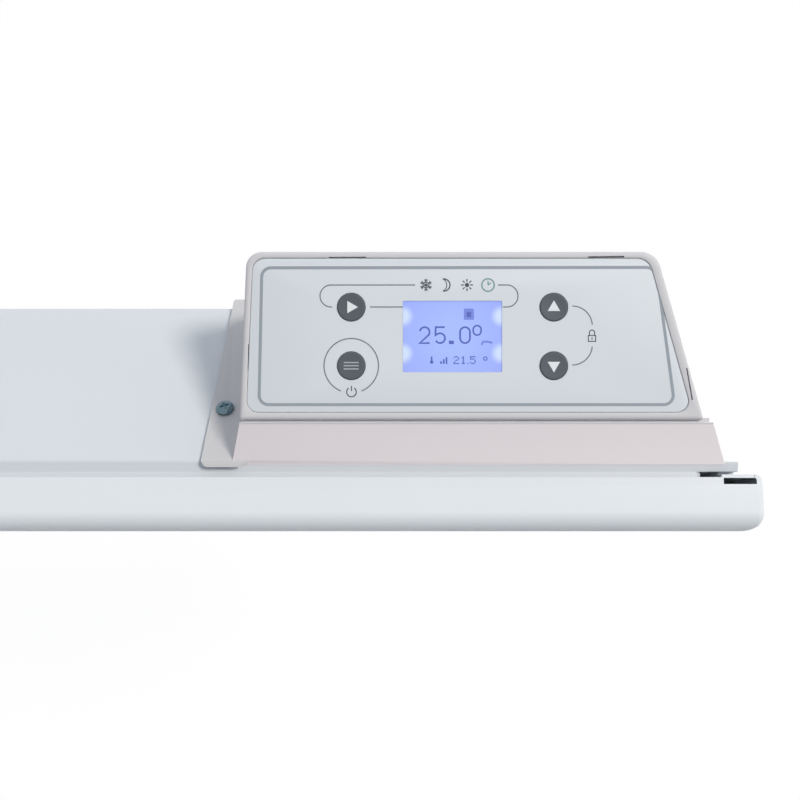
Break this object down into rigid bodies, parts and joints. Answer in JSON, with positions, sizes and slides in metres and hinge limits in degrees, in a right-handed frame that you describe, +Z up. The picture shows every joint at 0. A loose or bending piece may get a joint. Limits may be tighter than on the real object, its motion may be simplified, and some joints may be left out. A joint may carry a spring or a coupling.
{
  "type": "wall panel convector heater",
  "caption": "Slim white wall-hung panel convector heater with a tilted display and keypad on its top right corner, hung on a wall bracket with turn latches",
  "frame": {"origin": "centre of the wall bracket's back face, on the wall plane", "axes": "+Z up, +Y square into the wall, +X to the right as seen by someone facing the heater's front"},
  "size_m": [0.64, 0.107, 0.4214],
  "materials": {
    "white_paint": "smooth semi-gloss powder coat",
    "white_plastic": "fine-grained moulded plastic, warm white",
    "fascia": "smooth satin plate, cool pale grey",
    "screen": "blue back-lit display window",
    "key_grey": "soft-touch grey keys with pale symbols",
    "black_plastic": "moulded black plastic",
    "grey_plastic": "moulded grey plastic",
    "circuit_board": "green solder-masked board",
    "copper_winding": "taped copper winding on a core",
    "zinc_steel": "zinc-plated sheet and pins",
    "screw_steel": "bright zinc-plated screws",
    "bare_aluminium": "extruded bare aluminium",
    "ceramic": "white ceramic",
    "black_rubber": "soft black rubber",
    "lead_brown": "brown heat-proof lead insulation",
    "lead_blue": "blue lead insulation",
    "lead_green": "green earth lead insulation",
    "lead_grey": "pale grey cable and capacitor case"
  },
  "bodies": {
    "heater": {"air_deflector": "zinc_steel", "board_screw_1": "screw_steel", "board_screw_2": "screw_steel", "board_tray": "grey_plastic", "casing_screw_1": "screw_steel", "casing_screw_2": "screw_steel", "casing_screw_3": "screw_steel", "control_base": "white_plastic", "control_screw_inner": "screw_steel", "control_screw_left": "screw_steel", "cord_inlet": "grey_plastic", "display_board": "circuit_board", "display_frame": "white_plastic", "earth_lead": "lead_green", "earth_screw": "screw_steel", "element_bracket_left": "zinc_steel", "element_bracket_right": "zinc_steel", "element_bush_left": "ceramic", "element_bush_right": "ceramic", "element_lead": "lead_brown", "element_pin_left": "zinc_steel", "element_pin_right": "zinc_steel", "fascia_plate": "fascia", "filter_capacitor": "lead_grey", "front_panel": "white_paint", "heating_element": "bare_aluminium", "inlet_nut": "black_plastic", "lcd_module": "black_plastic", "lcd_window": "screen", "live_lead": "lead_brown", "neutral_lead": "lead_blue", "partition_plate": "zinc_steel", "power_board": "circuit_board", "rear_casing": "white_paint", "relay": "black_plastic", "ribbon_cable": "lead_grey", "sensor_lead": "lead_grey", "sensor_probe": "black_plastic", "tact_switch_down": "black_plastic", "tact_switch_menu": "black_plastic", "tact_switch_play": "black_plastic", "tact_switch_up": "black_plastic", "terminal_block": "grey_plastic", "thermal_cutout": "ceramic", "transformer": "copper_winding", "wall_bracket": "white_paint", "wall_foot_left": "black_rubber", "wall_foot_right": "black_rubber"},
    "play_key": {"button_play": "key_grey"},
    "menu_key": {"button_menu": "key_grey"},
    "up_key": {"button_up": "key_grey"},
    "down_key": {"button_down": "key_grey"},
    "latch_turn_left": {"latch_left": "black_plastic"},
    "latch_turn_right": {"latch_right": "black_plastic"}
  },
  "joints": [
    {"name": "play_press", "type": "slide", "parent": "heater", "child": "play_key", "axis": [0, 0.1392, -0.9903], "range_m": [0, 0.0004], "stiffness_N_per_m": 400},
    {"name": "menu_press", "type": "slide", "parent": "heater", "child": "menu_key", "axis": [0, 0.1392, -0.9903], "range_m": [0, 0.0004], "stiffness_N_per_m": 400},
    {"name": "up_press", "type": "slide", "parent": "heater", "child": "up_key", "axis": [0, 0.1392, -0.9903], "range_m": [0, 0.0004], "stiffness_N_per_m": 400},
    {"name": "down_press", "type": "slide", "parent": "heater", "child": "down_key", "axis": [0, 0.1392, -0.9903], "range_m": [0, 0.0004], "stiffness_N_per_m": 400},
    {"name": "latch_left_quarter_turn", "type": "hinge", "parent": "heater", "child": "latch_turn_left", "pos_m": [-0.176, -0.008, -0.166], "axis": [0, 1, 0], "range_deg": [0, 90]},
    {"name": "latch_right_quarter_turn", "type": "hinge", "parent": "heater", "child": "latch_turn_right", "pos_m": [0.176, -0.008, -0.166], "axis": [0, 1, 0], "range_deg": [0, 90]}
  ]
}
